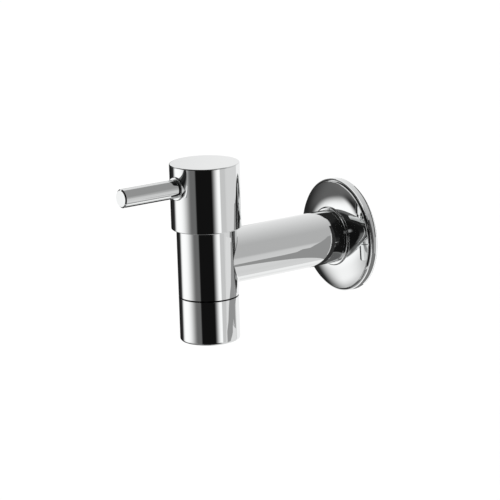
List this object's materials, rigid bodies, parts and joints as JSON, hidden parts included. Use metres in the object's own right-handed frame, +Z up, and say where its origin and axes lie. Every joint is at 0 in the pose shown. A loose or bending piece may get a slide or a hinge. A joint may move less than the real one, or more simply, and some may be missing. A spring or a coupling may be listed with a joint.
{
  "type": "cold water tap",
  "caption": "Wall-mounted quarter-turn cold water tap: chrome column with pin-lever cap, round arm, domed wall flange, threaded inlet and aerator nozzle.",
  "frame": {"origin": "on the axis of the inlet thread, in the plane of the wall, where the free thread starts", "axes": "+Z up along the column, +Y along the inlet axis into the wall, +X to the right of a person who faces the wall"},
  "size_m": [0.054, 0.136, 0.0838],
  "materials": {
    "chrome_plate": "polished chrome plating on brass",
    "brass": "machined brass",
    "fibre": "pressed red fibre",
    "rubber": "moulded black rubber",
    "white_plastic": "moulded natural acetal",
    "grey_plastic": "moulded grey acetal",
    "disc_ceramic": "lapped alumina",
    "spring_steel": "stainless spring steel",
    "stainless_mesh": "woven stainless wire"
  },
  "bodies": {
    "tap_body": {"body": "chrome_plate", "inlet_nipple": "brass", "nipple_seal": "fibre", "inlet_strainer": "white_plastic", "bonnet": "brass", "bonnet_seal": "rubber", "seat_seal": "rubber", "fixed_disc": "disc_ceramic", "stop_ring": "brass", "glide_ring": "white_plastic", "nozzle": "chrome_plate", "nozzle_seal": "rubber", "aerator_washer": "rubber", "aerator_screen": "stainless_mesh", "jet_plate": "grey_plastic", "aerator_shell": "chrome_plate", "aerator_core": "grey_plastic"},
    "handle": {"handle_cap": "chrome_plate", "lever": "chrome_plate", "spline_adapter": "white_plastic", "spindle": "brass", "turning_disc": "disc_ceramic", "stem_seal_1": "rubber", "stem_seal_2": "rubber", "thrust_washer": "white_plastic", "spindle_clip": "spring_steel"},
    "flange": {"wall_flange": "chrome_plate", "flange_seal": "rubber"}
  },
  "joints": [
    {"name": "handle_turn", "type": "hinge", "parent": "tap_body", "child": "handle", "pos_m": [0, -0.0785, 0.0158], "axis": [0, 0, 1], "range_deg": [0, 90]},
    {"name": "flange_slide", "type": "slide", "parent": "tap_body", "child": "flange", "axis": [0, -1, 0], "range_m": [0, 0.03]}
  ]
}
